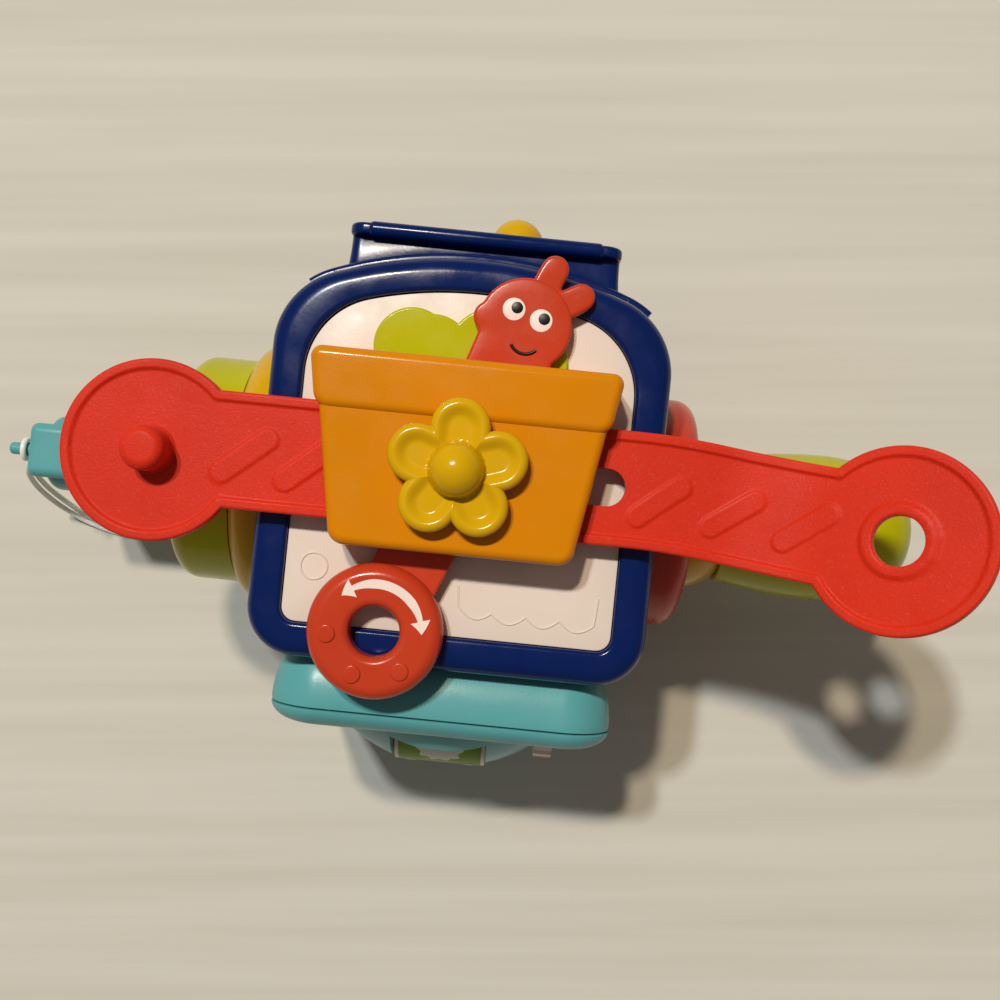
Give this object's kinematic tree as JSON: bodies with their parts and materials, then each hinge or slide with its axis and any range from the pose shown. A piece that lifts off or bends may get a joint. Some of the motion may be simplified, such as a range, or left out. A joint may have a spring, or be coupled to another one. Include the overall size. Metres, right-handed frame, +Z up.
{
  "type": "activity cube",
  "caption": "Child's arched activity box with a flowerpot top, spinning flower, peeping lever, sliding strap, dial, pull plug, tilting stick, picture roller and bead slider.",
  "frame": {"origin": "on the floor, straight below the pivot that the flower and the lever share", "axes": "+X towards the tilting stick, along the strap; +Y towards the arched back; +Z up"},
  "size_m": [0.3147, 0.1829, 0.1568],
  "materials": {
    "navy_plastic": "polished moulded plastic",
    "white_plastic": "satin moulded plastic",
    "orange_plastic": "satin-gloss moulded plastic",
    "yellow_plastic": "gloss moulded plastic",
    "lime_plastic": "gloss moulded plastic",
    "red_plastic": "gloss moulded plastic",
    "red_silicone": "matt silicone rubber",
    "coral_plastic": "gloss moulded plastic",
    "teal_plastic": "satin moulded plastic",
    "inner_plastic": "plain moulded plastic",
    "steel": "zinc-plated steel",
    "clear_cord": "braided polymer cord"
  },
  "bodies": {
    "cube": {"core_shell": "navy_plastic", "base_cover": "navy_plastic", "base_screws": "steel", "top_frame": "navy_plastic", "frame_screws": "steel", "white_panel": "white_plastic", "leaf_inlay": "lime_plastic", "flowerpot": "orange_plastic", "pot_screws": "steel", "flower_pin": "steel", "dial_base": "yellow_plastic", "dial_screws": "steel", "dial_retainer": "yellow_plastic", "tether_anchor": "navy_plastic", "tether_strand_a": "clear_cord", "tether_strand_b": "clear_cord", "stick_base": "coral_plastic", "stick_screws": "steel", "stick_bracket": "inner_plastic", "yoke_pins": "steel", "case_rear": "teal_plastic", "case_front": "teal_plastic", "case_screws": "steel", "back_housing": "navy_plastic", "back_screws": "steel"},
    "flower": {"flower": "yellow_plastic", "flower_cap": "yellow_plastic"},
    "lever": {"worm_lever": "red_plastic"},
    "strap": {"strap": "red_silicone"},
    "dial": {"dial": "lime_plastic"},
    "plug": {"pull_plug": "teal_plastic", "tether_loop": "clear_cord"},
    "gimbal": {"gimbal_ring": "inner_plastic"},
    "stick": {"shaft_pin": "steel", "stick_shaft": "inner_plastic", "stick_dome": "yellow_plastic", "knob_rear": "lime_plastic", "knob_front": "lime_plastic", "knob_screw": "steel"},
    "roller": {"picture_roller": "white_plastic", "thumb_wheel": "white_plastic", "roller_axle": "steel"},
    "slider": {"slider_knob": "yellow_plastic", "slider_shoe": "inner_plastic", "shoe_screw": "steel"}
  },
  "joints": [
    {"name": "flower_spin", "type": "hinge", "parent": "cube", "child": "flower", "pos_m": [0, 0, 0.137], "axis": [0, 0, 1], "continuous": true},
    {"name": "lever_swing", "type": "hinge", "parent": "cube", "child": "lever", "pos_m": [0, 0, 0.1185], "axis": [0, 0, 1], "range_deg": [-2, 43]},
    {"name": "strap_slide", "type": "slide", "parent": "cube", "child": "strap", "axis": [1, 0, 0], "range_m": [-0.042, 0.008]},
    {"name": "dial_spin", "type": "hinge", "parent": "cube", "child": "dial", "pos_m": [-0.084, -0.0042, 0.059], "axis": [1, 0, 0], "continuous": true},
    {"name": "plug_pull", "type": "slide", "parent": "cube", "child": "plug", "axis": [-1, 0, 0], "range_m": [0, 0.03], "deforming": ["tether_strand_a", "tether_strand_b"]},
    {"name": "stick_yaw", "type": "hinge", "parent": "cube", "child": "gimbal", "pos_m": [0.07, -0.0042, 0.059], "axis": [0, 0, 1], "range_deg": [-15, 15]},
    {"name": "stick_pitch", "type": "hinge", "parent": "gimbal", "child": "stick", "pos_m": [0.07, -0.0042, 0.059], "axis": [0, 1, 0], "range_deg": [-15, 15]},
    {"name": "roller_spin", "type": "hinge", "parent": "cube", "child": "roller", "pos_m": [0, -0.0781, 0.058], "axis": [1, 0, 0], "continuous": true},
    {"name": "slider_slide", "type": "slide", "parent": "cube", "child": "slider", "axis": [1, 0, 0], "range_m": [-0.034, 0.016]}
  ]
}
